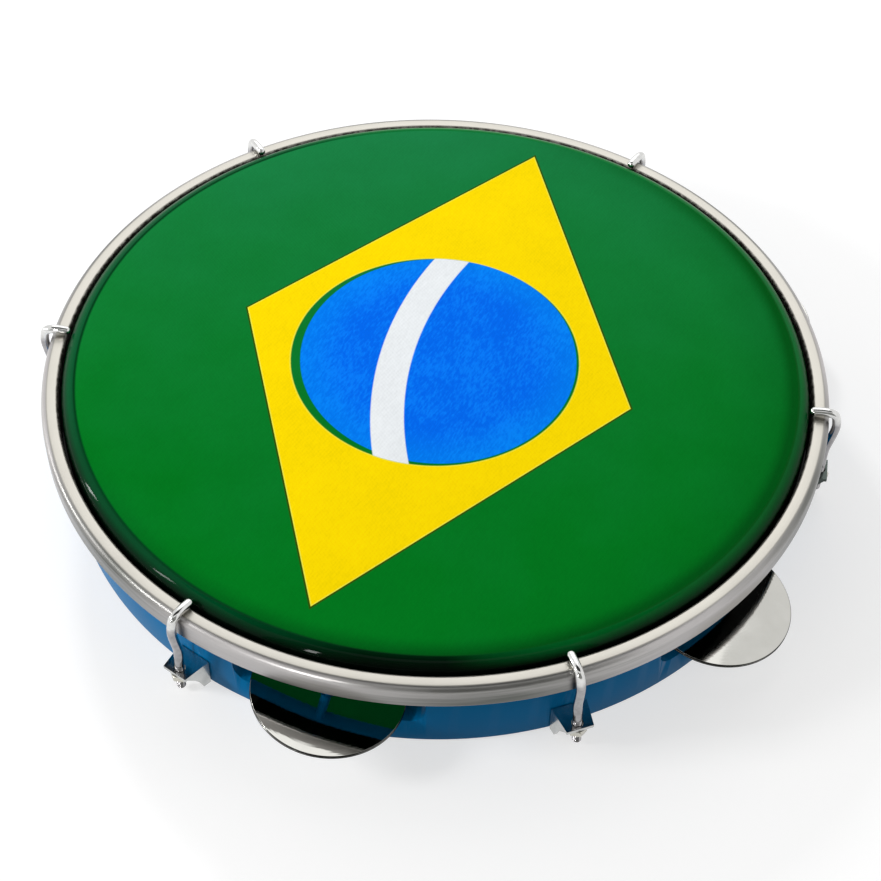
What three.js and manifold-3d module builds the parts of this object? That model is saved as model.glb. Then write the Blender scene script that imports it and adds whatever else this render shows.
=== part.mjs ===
// Pandeiro, a frame drum with jingles: moulded shell, clamped film head, folded counter hoop,
// six bent-wire tension hooks on pressed brackets, and five pairs of loose jingles on pins.
// Millimetres, +Z up, origin at the centre of the shell's bottom edge, -Y towards the player's view.

import * as THREE from 'three';
import { mergeVertices } from 'three/addons/utils/BufferGeometryUtils.js';
import Module from 'manifold-3d';

const wasm = await Module();
wasm.setup();

// Fits
const seatGap = 0.3;
const cutOverrun = 2;
const boltPlay = 0.4;

// Shell
const shellOuterRadius = 124.7;
const shellWall = 5.7;
const shellHeight = 38;
const shellSeatStep = 0.8;
const shellSeatDrop = 2;
const shellFootRound = 1.2;
const bearingInnerRound = 0.6;
const bearingRound = 4.3;

// Jingle slots, through the shell's wall
const slotAngles = [-104.4, -41, 23.6, 89.2, 149.1];
const slotEndPlay = 6.5;
const slotFloor = 10.5;
const slotRoofDepth = 9.5;
const slotCornerRadius = 5;

// Head film
const filmThickness = 0.4;

// Flesh hoop, which clamps the film's edge inside the counter hoop
const fleshHoopPlay = 0.6;
const fleshHoopHeight = 5.2;
const fleshHoopRound = 0.5;

// Counter hoop, sheet steel folded to an upside-down channel
const hoopSheet = 1;
const hoopWidth = 5.7;
const hoopPlay = 0.7;
const hoopSkirtHeight = 8;
const hoopTopRound = 2.3;
const hoopInnerRound = 1.3;

// Tension hooks, bent from wire
const hookAngles = [-125.4, -69.9, -8.7, 55.8, 122.7, 175.5];
const wireRadius = 1.5;
const hookShankOffset = 0.8;
const hookCrown = 0.3;
const hookBulge = 0.8;
const hookShoulderDrop = 6;
const hookKinkDrop = 6.6;
const hookKinkBend = 2.6;
const hookEndHeight = 1.2;
const hookTipInset = 0.3;

// Brackets, pressed from sheet
const bracketSheet = 1.2;
const bracketTop = 10.8;
const bracketFoot = 0.5;
const shelfMargin = 2.5;
const bracketRearWidth = 11.5;
const bracketFrontWidth = 8.8;
const gussetFootDepth = 2.6;
const gussetLip = 0.9;

// Nuts
const nutAcrossFlats = 5.5;
const nutHeight = 2.4;

// Rivets
const rivetRadius = 1.5;
const rivetHeight = 5.4;
const rivetHeadRadius = 2.4;
const rivetHeadHeight = 1.1;
const rivetTailHeight = 0.9;

// Jingles, pairs of slightly cupped discs on upright pins
const pinRadius = 1.25;
const pinDepthInWall = 3.5;
const pinRecess = 0.6;
const pinGrip = 4.4;
const discRadius = 24;
const discSheet = 0.5;
const discCup = 0.6;
const discHoleRadius = 3;
const discGap = 0.3;

// How each loose pair lies in its slot: leans in degrees, and how far it has slid outwards
const leansAlong = [-5.6, -1.9, 3.2, -2.6, 4.1];
const leansOutward = [3, -6.4, -2, 0.8, -1.5];
const slidesOutward = [-0.5, -1.2, -0.6, -0.9, -0.3];

// Fineness of the facets
const ringSteps = 64;
const discSteps = 24;
const discRings = 2;
const roundSteps = 3;
const wireSides = 8;
const wireSteps = 20;
const boreSides = 12;

// Sizes worked out from the ones above
const shellInnerRadius = shellOuterRadius - shellWall;
const shellSeatRadius = shellOuterRadius - shellSeatStep;
const pinCircleRadius = shellOuterRadius - pinDepthInWall;
const slotLength = 2 * (discRadius + slotEndPlay);
const slotRoof = shellHeight - slotRoofDepth;
const crestRadius = shellSeatRadius - bearingRound;
const crestCentreHeight = shellHeight - bearingRound;
const filmInnerRadius = shellSeatRadius + seatGap;
const filmOuterRadius = filmInnerRadius + filmThickness;
const filmUnderHeight = shellHeight + seatGap;
const filmTopHeight = filmUnderHeight + filmThickness;
const hoopInnerRadius = filmOuterRadius + hoopPlay;
const hoopOuterRadius = hoopInnerRadius + hoopWidth;
const filmFlangeFoot = slotRoof + seatGap;
const filmFlangeTop = filmFlangeFoot + filmThickness;
const shellSeatHeight = filmFlangeFoot - shellSeatStep - shellSeatDrop;
const fleshHoopFoot = filmFlangeTop + seatGap;
const fleshHoopTop = fleshHoopFoot + fleshHoopHeight;
const fleshHoopInnerRadius = hoopInnerRadius + hoopSheet + seatGap;
const fleshHoopOuterRadius = hoopOuterRadius - hoopSheet - fleshHoopPlay;
const filmFlangeRadius = fleshHoopOuterRadius;
const hoopTop = fleshHoopTop + seatGap + hoopSheet;
const hoopFoot = hoopTop - hoopSkirtHeight;
const hookShankRadius = hoopOuterRadius + hookShankOffset;
const hookKinkHeight = hoopFoot - hookKinkDrop;
const bracketRearRadius = shellOuterRadius + seatGap;
const shelfUnderside = bracketTop - bracketSheet;
const shankReach = hookShankRadius - bracketRearRadius;
const bracketReach = shankReach + shelfMargin;

function radians(degrees) {
  return THREE.MathUtils.degToRad(degrees);
}

// A closed solid for joining and cutting, from any closed geometry.
function solidFrom(geometry) {
  const bare = geometry.index ? geometry.toNonIndexed() : geometry.clone();
  bare.deleteAttribute('normal');
  bare.deleteAttribute('uv');
  const merged = mergeVertices(bare);
  const corners = merged.index.array;
  const faces = [];
  for (let i = 0; i < corners.length; i += 3) {
    const [a, b, c] = [corners[i], corners[i + 1], corners[i + 2]];
    if (a !== b && b !== c && c !== a) faces.push(a, b, c);
  }
  const vertProperties = merged.attributes.position.array;
  const triVerts = new Uint32Array(faces);
  return new wasm.Manifold(new wasm.Mesh({ numProp: 3, vertProperties, triVerts }));
}

function geometryFrom(solid) {
  const mesh = solid.getMesh();
  const geometry = new THREE.BufferGeometry();
  geometry.setAttribute('position', new THREE.BufferAttribute(mesh.vertProperties, 3));
  geometry.setIndex(new THREE.BufferAttribute(mesh.triVerts, 1));
  geometry.computeVertexNormals();
  return geometry;
}

// Points of a quarter turn, or any other arc, as [radius, height] pairs.
function arcPoints(centreRadius, centreHeight, size, fromDegrees, toDegrees, steps = roundSteps) {
  const points = [];
  for (let i = 0; i <= steps; i += 1) {
    const angle = radians(fromDegrees + ((toDegrees - fromDegrees) * i) / steps);
    points.push([centreRadius + size * Math.cos(angle), centreHeight + size * Math.sin(angle)]);
  }
  return points;
}

// A profile of [radius, height] pairs turned about +Z.
function turned(profile, steps) {
  const points = profile.map(([radius, height]) => new THREE.Vector2(radius, height));
  return new THREE.LatheGeometry(points, steps).rotateX(Math.PI / 2);
}

function closed(profile) {
  return [...profile, profile[0]];
}

function cylinderAlongZ(radius, low, high, sides = boreSides) {
  const geometry = new THREE.CylinderGeometry(radius, radius, high - low, sides);
  return geometry.rotateX(Math.PI / 2).translate(0, 0, (low + high) / 2);
}

function cylinderAlongX(radius, low, high, sides = boreSides) {
  const geometry = new THREE.CylinderGeometry(radius, radius, high - low, sides);
  return geometry.rotateZ(Math.PI / 2).translate((low + high) / 2, 0, 0);
}

function regularPolygon(radius, sides) {
  const shape = new THREE.Shape();
  for (let i = 0; i < sides; i += 1) {
    const angle = (2 * Math.PI * i) / sides;
    const point = [radius * Math.cos(angle), radius * Math.sin(angle)];
    if (i === 0) shape.moveTo(...point);
    else shape.lineTo(...point);
  }
  shape.closePath();
  return shape;
}

// Shell
function slotCutter(angle) {
  const half = slotLength / 2;
  const round = slotCornerRadius;
  const outline = new THREE.Shape();
  outline.moveTo(-half + round, slotFloor);
  outline.lineTo(half - round, slotFloor);
  outline.absarc(half - round, slotFloor + round, round, -Math.PI / 2, 0);
  outline.lineTo(half, slotRoof - round);
  outline.absarc(half - round, slotRoof - round, round, 0, Math.PI / 2);
  outline.lineTo(-half + round, slotRoof);
  outline.absarc(-half + round, slotRoof - round, round, Math.PI / 2, Math.PI);
  outline.lineTo(-half, slotFloor + round);
  outline.absarc(-half + round, slotFloor + round, round, Math.PI, 1.5 * Math.PI);
  const wallAtSlotEnd = Math.sqrt(shellInnerRadius ** 2 - half ** 2);
  const start = wallAtSlotEnd - cutOverrun;
  const depth = shellOuterRadius + cutOverrun - start;
  const geometry = new THREE.ExtrudeGeometry(outline, {
    depth,
    bevelEnabled: false,
    curveSegments: roundSteps,
  });
  return geometry.rotateX(Math.PI / 2).rotateZ(Math.PI / 2).translate(start, 0, 0).rotateZ(radians(angle));
}

function makeShell() {
  const foot = shellFootRound;
  const profile = closed([
    ...arcPoints(shellInnerRadius + foot, foot, foot, 180, 270, 2),
    ...arcPoints(shellOuterRadius - foot, foot, foot, 270, 360, 2),
    [shellOuterRadius, shellSeatHeight],
    [shellSeatRadius, shellSeatHeight + shellSeatStep],
    ...arcPoints(crestRadius, crestCentreHeight, bearingRound, 0, 90),
    [shellInnerRadius, shellHeight - bearingInnerRound],
  ]);
  let shell = solidFrom(turned(profile, ringSteps));
  for (const angle of slotAngles) {
    const pinHoleTop = slotRoof + pinGrip + seatGap;
    const pinHole = cylinderAlongZ(pinRadius + seatGap, -cutOverrun, pinHoleTop);
    pinHole.translate(pinCircleRadius, 0, 0).rotateZ(radians(angle));
    shell = shell.subtract(solidFrom(slotCutter(angle))).subtract(solidFrom(pinHole));
  }
  for (const angle of hookAngles) {
    const low = shellInnerRadius - cutOverrun;
    const high = shellOuterRadius + cutOverrun;
    const rivetHole = cylinderAlongX(rivetRadius + seatGap, low, high);
    rivetHole.translate(0, 0, rivetHeight).rotateZ(radians(angle));
    shell = shell.subtract(solidFrom(rivetHole));
  }
  return geometryFrom(shell);
}

// Head film: flat over the bearing edge, down past it, and out under the flesh hoop
function makeFilm() {
  const innerRound = bearingRound + seatGap;
  const outerRound = innerRound + filmThickness;
  return turned(
    [
      [0, filmUnderHeight],
      ...arcPoints(crestRadius, crestCentreHeight, innerRound, 90, 0),
      [filmInnerRadius, filmFlangeFoot],
      [filmFlangeRadius, filmFlangeFoot],
      [filmFlangeRadius, filmFlangeTop],
      [filmOuterRadius, filmFlangeTop],
      ...arcPoints(crestRadius, crestCentreHeight, outerRound, 0, 90),
      [0, filmTopHeight],
    ],
    ringSteps,
  );
}

function makeFleshHoop() {
  const round = fleshHoopRound;
  const profile = closed([
    [fleshHoopInnerRadius, fleshHoopFoot],
    [fleshHoopOuterRadius, fleshHoopFoot],
    [fleshHoopOuterRadius, fleshHoopTop - round],
    [fleshHoopOuterRadius - round, fleshHoopTop],
    [fleshHoopInnerRadius + round, fleshHoopTop],
    [fleshHoopInnerRadius, fleshHoopTop - round],
  ]);
  return turned(profile, ringSteps);
}

function makeCounterHoop() {
  const inner = hoopInnerRadius;
  const outer = hoopOuterRadius;
  const innerWallFoot = filmFlangeTop + seatGap;
  const profile = closed([
    [outer, hoopFoot],
    ...arcPoints(outer - hoopTopRound, hoopTop - hoopTopRound, hoopTopRound, 0, 90),
    ...arcPoints(inner + hoopInnerRound, hoopTop - hoopInnerRound, hoopInnerRound, 90, 180, 2),
    [inner, innerWallFoot],
    [inner + hoopSheet, innerWallFoot],
    [inner + hoopSheet, hoopTop - hoopSheet],
    [outer - hoopSheet, hoopTop - hoopSheet],
    [outer - hoopSheet, hoopFoot],
  ]);
  return turned(profile, ringSteps);
}

// Tension hook, in the upright plane through the drum's axis: over the hoop, down past it,
// in at the kink, and straight down through the bracket
function makeHook() {
  const topHeight = hoopTop + seatGap + wireRadius;
  const outermost = hoopOuterRadius + seatGap + wireRadius + hookBulge;
  const shoulder = outermost - hookShankRadius;
  const route = [
    [hoopInnerRadius + hookTipInset, topHeight],
    [(hoopInnerRadius + hoopOuterRadius) / 2, topHeight + hookCrown],
    [hoopOuterRadius - hookCrown, topHeight + hookCrown / 2],
    [hoopOuterRadius + wireRadius, topHeight - wireRadius / 2],
    [outermost - hookCrown, topHeight - 2 * wireRadius],
    [outermost, topHeight - hookShoulderDrop],
    [outermost - shoulder / 4, hoopFoot],
    [hookShankRadius + shoulder / 3, hookKinkHeight + hookKinkBend],
    [hookShankRadius, hookKinkHeight - hookKinkBend / 2],
    [hookShankRadius, bracketTop + hookKinkBend],
    [hookShankRadius, (bracketTop + hookEndHeight) / 2],
    [hookShankRadius, hookEndHeight],
  ];
  const points = route.map(([radius, height]) => new THREE.Vector3(radius, 0, height));
  const wire = new THREE.ExtrudeGeometry(regularPolygon(wireRadius, wireSides), {
    steps: wireSteps,
    bevelEnabled: false,
    extrudePath: new THREE.CatmullRomCurve3(points, false, 'centripetal'),
  });
  const tip = new THREE.SphereGeometry(wireRadius, wireSides, wireSides / 2);
  tip.rotateZ(Math.PI / 2).translate(points[0].x, 0, points[0].z);
  return geometryFrom(solidFrom(wire).add(solidFrom(tip)));
}

// Bracket, with its back against the shell at x = 0 and its shelf reaching out along +X
function bracketHalfWidth(reach) {
  const taper = (bracketRearWidth - bracketFrontWidth) / bracketReach;
  return (bracketRearWidth - taper * reach) / 2;
}

function bracketPlan(from, to, inset, low, high) {
  const plan = new THREE.Shape();
  plan.moveTo(from, -bracketHalfWidth(from) + inset);
  plan.lineTo(to, -bracketHalfWidth(to) + inset);
  plan.lineTo(to, bracketHalfWidth(to) - inset);
  plan.lineTo(from, bracketHalfWidth(from) - inset);
  plan.closePath();
  const geometry = new THREE.ExtrudeGeometry(plan, { depth: high - low, bevelEnabled: false });
  return geometry.translate(0, 0, low);
}

function bracketSide() {
  const side = new THREE.Shape();
  side.moveTo(0, bracketFoot);
  side.lineTo(gussetFootDepth, bracketFoot);
  side.quadraticCurveTo(
    gussetFootDepth + gussetLip,
    (bracketFoot + shelfUnderside) / 2,
    bracketReach - gussetLip,
    shelfUnderside,
  );
  side.lineTo(bracketReach, shelfUnderside);
  side.lineTo(bracketReach, bracketTop);
  side.lineTo(0, bracketTop);
  side.closePath();
  const depth = bracketRearWidth + 2 * cutOverrun;
  const geometry = new THREE.ExtrudeGeometry(side, {
    depth,
    bevelEnabled: false,
    curveSegments: roundSteps,
  });
  return geometry.rotateX(Math.PI / 2).translate(0, depth / 2, 0);
}

function makeBracket() {
  const block = bracketPlan(0, bracketReach, 0, bracketFoot, bracketTop);
  const hollow = bracketPlan(
    bracketSheet,
    bracketReach + cutOverrun,
    bracketSheet,
    bracketFoot - cutOverrun,
    shelfUnderside,
  );
  const shankHole = cylinderAlongZ(wireRadius + boltPlay, shelfUnderside - cutOverrun, bracketTop + cutOverrun);
  shankHole.translate(shankReach, 0, 0);
  const rivetHole = cylinderAlongX(rivetRadius + seatGap, -cutOverrun, bracketSheet + cutOverrun);
  rivetHole.translate(0, 0, rivetHeight);
  const bracket = solidFrom(block)
    .intersect(solidFrom(bracketSide()))
    .subtract(solidFrom(hollow))
    .subtract(solidFrom(shankHole))
    .subtract(solidFrom(rivetHole));
  return geometryFrom(bracket);
}

function makeNut() {
  const cornerRadius = nutAcrossFlats / 2 / Math.cos(Math.PI / 6);
  const outline = regularPolygon(cornerRadius, 6);
  const bore = regularPolygon(wireRadius + seatGap, boreSides);
  outline.holes.push(bore);
  const geometry = new THREE.ExtrudeGeometry(outline, { depth: nutHeight, bevelEnabled: false });
  return geometry.translate(0, 0, shelfUnderside - seatGap - nutHeight);
}

// Rivet along +X: spread tail inside the shell, domed head on the bracket's back plate
function makeRivet() {
  const tailOut = shellInnerRadius - seatGap;
  const headIn = bracketRearRadius + bracketSheet + seatGap;
  const profile = [
    [0, tailOut - rivetTailHeight],
    [rivetHeadRadius, tailOut - rivetTailHeight],
    [rivetHeadRadius, tailOut],
    [rivetRadius, tailOut],
    [rivetRadius, headIn],
    [rivetHeadRadius, headIn],
    [rivetRadius, headIn + rivetHeadHeight],
    [0, headIn + rivetHeadHeight],
  ];
  const points = profile.map(([radius, reach]) => new THREE.Vector2(radius, reach));
  const geometry = new THREE.LatheGeometry(points, boreSides);
  return geometry.rotateZ(-Math.PI / 2).translate(0, 0, rivetHeight);
}

// Jingle disc in its pair's own frame: rims meet at height 0, hollow sides face each other
function makeDisc(side) {
  const face = [];
  for (let i = 0; i <= discRings; i += 1) {
    const radius = discHoleRadius + ((discRadius - discHoleRadius) * i) / discRings;
    face.push([radius, discGap / 2 + discCup * (1 - (radius / discRadius) ** 2)]);
  }
  const back = face.map(([radius, height]) => [radius, height + discSheet]).reverse();
  const profile = closed([...face, ...back]);
  if (side > 0) return turned(profile, discSteps);
  return turned(profile.map(([radius, height]) => [radius, -height]).reverse(), discSteps);
}

// The height at which a leaning pair's lower rim just clears the slot's floor
function pairHeight(along, outward) {
  const rimLow = discGap / 2 + discSheet + discRadius * Math.sin(Math.abs(along));
  const wallLow = (shellWall / 2 + seatGap) * Math.sin(Math.abs(outward));
  return slotFloor + seatGap + rimLow + wallLow;
}

// Finishes
const finishes = {
  shellPlastic: { color: 0x05528f, roughness: 0.35, metalness: 0 },
  printedFilm: { color: 0x0a7a35, roughness: 0.3, metalness: 0 },
  hoopChrome: { color: 0xd9d9d6, roughness: 0.12, metalness: 1 },
  hookChrome: { color: 0xdedede, roughness: 0.15, metalness: 1 },
  bracketChrome: { color: 0xcfd1d2, roughness: 0.18, metalness: 1 },
  nutSteel: { color: 0xd8d4c8, roughness: 0.3, metalness: 1 },
  rivetSteel: { color: 0xbfc0bf, roughness: 0.35, metalness: 1 },
  fleshAluminium: { color: 0xb9bbbd, roughness: 0.4, metalness: 1 },
  jingleSteel: { color: 0xd4d3cf, roughness: 0.1, metalness: 1 },
  pinSteel: { color: 0xaeb0b0, roughness: 0.3, metalness: 1 },
};

function piece(name, geometry, finish) {
  const mesh = new THREE.Mesh(geometry, new THREE.MeshStandardMaterial(finishes[finish]));
  mesh.name = name;
  return mesh;
}

const pandeiro = new THREE.Group();
pandeiro.add(piece('shell', makeShell(), 'shellPlastic'));
pandeiro.add(piece('head_film', makeFilm(), 'printedFilm'));
pandeiro.add(piece('flesh_hoop', makeFleshHoop(), 'fleshAluminium'));
pandeiro.add(piece('counter_hoop', makeCounterHoop(), 'hoopChrome'));

const hookGeometry = makeHook();
const bracketGeometry = makeBracket();
const nutGeometry = makeNut();
const rivetGeometry = makeRivet();
hookAngles.forEach((angle, index) => {
  const station = new THREE.Group();
  station.rotation.z = radians(angle);
  const bracket = piece(`hook_bracket_${index + 1}`, bracketGeometry, 'bracketChrome');
  bracket.position.x = bracketRearRadius;
  const nut = piece(`hook_nut_${index + 1}`, nutGeometry, 'nutSteel');
  nut.position.x = hookShankRadius;
  station.add(piece(`tension_hook_${index + 1}`, hookGeometry, 'hookChrome'));
  station.add(bracket);
  station.add(nut);
  station.add(piece(`bracket_rivet_${index + 1}`, rivetGeometry, 'rivetSteel'));
  pandeiro.add(station);
});

const pinGeometry = cylinderAlongZ(pinRadius, pinRecess, slotRoof + pinGrip);
const upperGeometry = makeDisc(1);
const lowerGeometry = makeDisc(-1);
slotAngles.forEach((angle, index) => {
  const along = radians(leansAlong[index]);
  const outward = radians(leansOutward[index]);
  const reach = pinCircleRadius + slidesOutward[index];
  const station = new THREE.Group();
  station.rotation.z = radians(angle);
  const pin = piece(`jingle_pin_${index + 1}`, pinGeometry, 'pinSteel');
  pin.position.x = pinCircleRadius;
  const pair = new THREE.Group();
  pair.position.set(reach, 0, pairHeight(along, outward));
  pair.rotation.set(along, -outward, 0);
  pair.add(piece(`lower_jingle_${index + 1}`, lowerGeometry, 'jingleSteel'));
  pair.add(piece(`upper_jingle_${index + 1}`, upperGeometry, 'jingleSteel'));
  station.add(pin);
  station.add(pair);
  pandeiro.add(station);
});

export default pandeiro;
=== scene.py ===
import math

import bmesh
import bpy
from mathutils import Matrix, Vector


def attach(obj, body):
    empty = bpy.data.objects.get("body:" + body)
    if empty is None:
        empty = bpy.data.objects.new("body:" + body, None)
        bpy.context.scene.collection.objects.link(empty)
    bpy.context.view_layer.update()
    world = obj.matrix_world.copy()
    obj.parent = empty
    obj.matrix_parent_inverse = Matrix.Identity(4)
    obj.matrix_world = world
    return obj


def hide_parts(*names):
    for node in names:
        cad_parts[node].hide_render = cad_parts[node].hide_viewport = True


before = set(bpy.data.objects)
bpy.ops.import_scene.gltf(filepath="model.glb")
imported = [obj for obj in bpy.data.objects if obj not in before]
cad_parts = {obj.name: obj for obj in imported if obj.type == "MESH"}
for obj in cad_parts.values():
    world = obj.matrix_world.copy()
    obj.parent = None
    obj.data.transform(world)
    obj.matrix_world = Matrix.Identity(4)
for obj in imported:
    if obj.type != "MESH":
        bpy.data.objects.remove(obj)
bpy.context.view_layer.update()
print("model loaded")


def metres(point):
    # sizes and places are written in millimetres below, and turned to metres here
    return Vector(point) / 1000


def linearColour(code):
    # sRGB hex to the linear colour that the shaders want
    channels = [int(code[i : i + 2], 16) / 255 for i in (1, 3, 5)]
    linear = [c / 12.92 if c <= 0.04045 else ((c + 0.055) / 1.055) ** 2.4 for c in channels]
    return (*linear, 1.0)


def addNode(tree, kind, inputs=(), **settings):
    # inputs go by place or by key; each is a value, a hex colour, a socket, or a node to link from
    node = tree.nodes.new("ShaderNode" + kind)
    for name, value in settings.items():
        setattr(node, name, value)
    keyed = inputs if isinstance(inputs, dict) else dict(enumerate(inputs))
    for key, value in keyed.items():
        if isinstance(value, bpy.types.Node):
            value = next(output for output in value.outputs if output.enabled)
        if isinstance(value, bpy.types.NodeSocket):
            tree.links.new(value, node.inputs[key])
        else:
            node.inputs[key].default_value = linearColour(value) if isinstance(value, str) else value
    return node


def newMaterial(name):
    material = bpy.data.materials.new(name)
    material.use_nodes = True
    material.node_tree.nodes.clear()
    return material, material.node_tree


def finishMaterial(tree, surface):
    shader = addNode(tree, "BsdfPrincipled", surface)
    addNode(tree, "OutputMaterial", {"Surface": shader})


def millimetres(tree):
    # object coordinates, so that every pattern below is scaled in real millimetres
    place = addNode(tree, "TexCoord").outputs["Object"]
    return addNode(tree, "VectorMath", {0: place, "Scale": 1000.0}, operation="SCALE")


def layColours(tree, colour, *layers):
    # colours laid in turn over the first, each as far as its own mask reaches
    for mask, over in layers:
        colour = addNode(tree, "Mix", {"Factor": mask, 6: colour, 7: over}, data_type="RGBA")
    return colour


def arcPoints(centreRadius, centreHeight, size, fromDegrees, toDegrees, steps):
    points = []
    for i in range(steps + 1):
        angle = math.radians(fromDegrees + (toDegrees - fromDegrees) * i / steps)
        points.append((centreRadius + size * math.cos(angle), centreHeight + size * math.sin(angle)))
    return points


def ringPoints(radius, height, sides):
    angles = [2 * math.pi * i / sides for i in range(sides)]
    return [(radius * math.cos(angle), radius * math.sin(angle), height) for angle in angles]


def bandFaces(low, high, sides):
    # the faces between two rings of points, given by the number of each ring's first point
    return [(low + i, low + (i + 1) % sides, high + (i + 1) % sides, high + i) for i in range(sides)]


def softenMesh(mesh, sharpAngle):
    mesh.polygons.foreach_set("use_smooth", [True] * len(mesh.polygons))
    mesh.set_sharp_from_angle(angle=math.radians(sharpAngle))
    mesh.update()


def meshPiece(name, points, faces, sharpAngle=32):
    mesh = bpy.data.meshes.new(name)
    mesh.from_pydata([metres(p) for p in points], [], faces)
    shape = bmesh.new()
    shape.from_mesh(mesh)
    bmesh.ops.recalc_face_normals(shape, faces=shape.faces)
    shape.to_mesh(mesh)
    shape.free()
    softenMesh(mesh, sharpAngle)
    piece = bpy.data.objects.new(name, mesh)
    bpy.context.scene.collection.objects.link(piece)
    return piece


def turnedPiece(name, profile, steps, sharpAngle=32):
    # a closed profile of (radius, height) turned about +Z; a point on the axis becomes one vertex
    points, rows, faces = [], [], []
    for radius, height in profile:
        if radius < 1e-6:
            rows.append([len(points)] * steps)
            points.append((0, 0, height))
        else:
            rows.append([len(points) + i for i in range(steps)])
            points += ringPoints(radius, height, steps)
    for low, high in zip(rows, rows[1:] + rows[:1]):
        if low[0] == low[1] and high[0] == high[1]:
            continue
        for i in range(steps):
            j = (i + 1) % steps
            faces.append(list(dict.fromkeys([low[i], low[j], high[j], high[i]])))
    return meshPiece(name, points, faces, sharpAngle)


def dress(piece, material, body, *nodes):
    piece.data.materials.clear()
    piece.data.materials.append(material)
    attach(piece, body)
    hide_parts(*nodes)


def stationTurn(angle):
    return Matrix.Rotation(math.radians(angle), 4, "Z")


# the photo's own viewing angle and distance
camera = {
    "target": (2.0, -33.9, 36.0),
    "distance": 613.3,
    "elevation": 48.25,
    "roll": 1.39,
    "focalPixels": 1900,
    "imagePixels": 881,
    "sensorWidth": 36,
    "nearest": 10,
}


def placeCamera():
    rise = math.radians(camera["elevation"])
    roll = math.radians(camera["roll"])
    forward = Vector((0, math.cos(rise), -math.sin(rise)))
    level = Vector((1, 0, 0))
    upright = Vector((0, math.sin(rise), math.cos(rise)))
    right = math.cos(roll) * level + math.sin(roll) * upright
    up = math.cos(roll) * upright - math.sin(roll) * level
    lens = bpy.data.cameras.new("photoCamera")
    lens.sensor_width = camera["sensorWidth"]
    lens.lens = camera["sensorWidth"] * camera["focalPixels"] / camera["imagePixels"]
    lens.clip_start = camera["nearest"] / 1000
    eye = bpy.data.objects.new("photoCamera", lens)
    turn = Matrix((right, up, -forward)).transposed().to_4x4()
    place = metres(camera["target"]) - forward * camera["distance"] / 1000
    eye.matrix_world = Matrix.Translation(place) @ turn
    bpy.context.scene.collection.objects.link(eye)
    bpy.context.scene.camera = eye


placeCamera()
print("camera placed")


# paper floor, even daylight, and the lamps and boards that the metal reflects
studio = {
    "floorSize": 6000,
    "floorGap": 0.2,
    "floorColour": "#B6B6B6",
    "floorRoughness": 0.9,
    "floorGlow": 0.62,
    "worldStrength": 0.57,
    "aimHeight": 20,
    "highPlace": (0, 1000, 1000),
    "highSize": (1300, 900),
    "highPower": 3.5,
    "backPlace": (-500, 1300, 750),
    "backSize": (200, 200),
    "backPower": 10.0,
    "sidePlace": (-1218, -215, 657),
    "sideSize": (300, 300),
    "sidePower": 10.0,
    "glintDistance": 1000,
    "stripDirections": [(172, 18), (-162, 29), (-118, 20)],
    "stripSize": (45, 230),
    "stripPower": 1.4,
    "crownDirection": (80, 69),
    "crownSize": (750, 260),
    "crownPower": 0.26,
    "ceilingSize": (800, 350),
    "ceilingPlace": (0, -160, 1300),
    "ceilingColour": "#3A3B3A",
    "frontRadius": 1150,
    "frontFrom": -130,
    "frontTo": -50,
    "frontSteps": 16,
    "frontFoot": 60,
    "frontTop": 1150,
    "frontNarrowing": 0.75,
    "frontColour": "#9C9D9A",
    "feltPerMm": 0.05,
    "feltTone": (0.9, 1.1),
}


def addSoftbox(name, place, size, power):
    light = bpy.data.lights.new(name, "AREA")
    light.shape = "RECTANGLE"
    light.size, light.size_y = size[0] / 1000, size[1] / 1000
    light.energy = power
    lamp = bpy.data.objects.new(name, light)
    lamp.location = metres(place)
    aim = metres(place) - Vector((0, 0, studio["aimHeight"] / 1000))
    lamp.rotation_euler = aim.to_track_quat("Z", "Y").to_euler()
    bpy.context.scene.collection.objects.link(lamp)
    return lamp


def seenRay(tree):
    # 1 for rays that show the background: to the camera, in metal and through clear things
    ray = addNode(tree, "LightPath").outputs
    seen = addNode(tree, "Math", (ray["Is Camera Ray"], ray["Is Glossy Ray"]), operation="MAXIMUM")
    return addNode(tree, "Math", (seen, ray["Is Transmission Ray"]), operation="MAXIMUM")


def addBoard(name, points, faces, colour):
    # a matt board outside the picture, whose reflection gives the metal its darker tones
    board = meshPiece(name, points, faces)
    board.visible_camera = False
    material, tree = newMaterial(name + "Felt")  # wool felt, pressed: nearly even and without any shine
    grain = addNode(tree, "TexNoise", {"Vector": millimetres(tree), "Scale": studio["feltPerMm"]})
    tone = addNode(tree, "MapRange", (grain, 0.0, 1.0, *studio["feltTone"]))
    shade = addNode(tree, "HueSaturation", {"Color": colour, "Value": tone})
    finishMaterial(tree, {"Base Color": shade, "Roughness": 1.0, "Specular IOR Level": 0.0})
    board.data.materials.append(material)


def addBoards():
    wide, deep = studio["ceilingSize"]
    x, y, z = studio["ceilingPlace"]
    corners = [(x + wide * i, y + deep * j, z) for i, j in ((-1, -1), (1, -1), (1, 1), (-1, 1))]
    addBoard("ceilingBoard", corners, [(0, 1, 2, 3)], studio["ceilingColour"])
    points, steps, narrow = [], studio["frontSteps"], studio["frontNarrowing"]
    for east, north in arcPoints(0, 0, studio["frontRadius"], studio["frontFrom"], studio["frontTo"], steps):
        points += [(east, north, studio["frontFoot"]), (east * narrow, north * narrow, studio["frontTop"])]
    faces = [(2 * i, 2 * i + 2, 2 * i + 3, 2 * i + 1) for i in range(steps)]
    addBoard("frontBoard", points, faces, studio["frontColour"])


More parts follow.
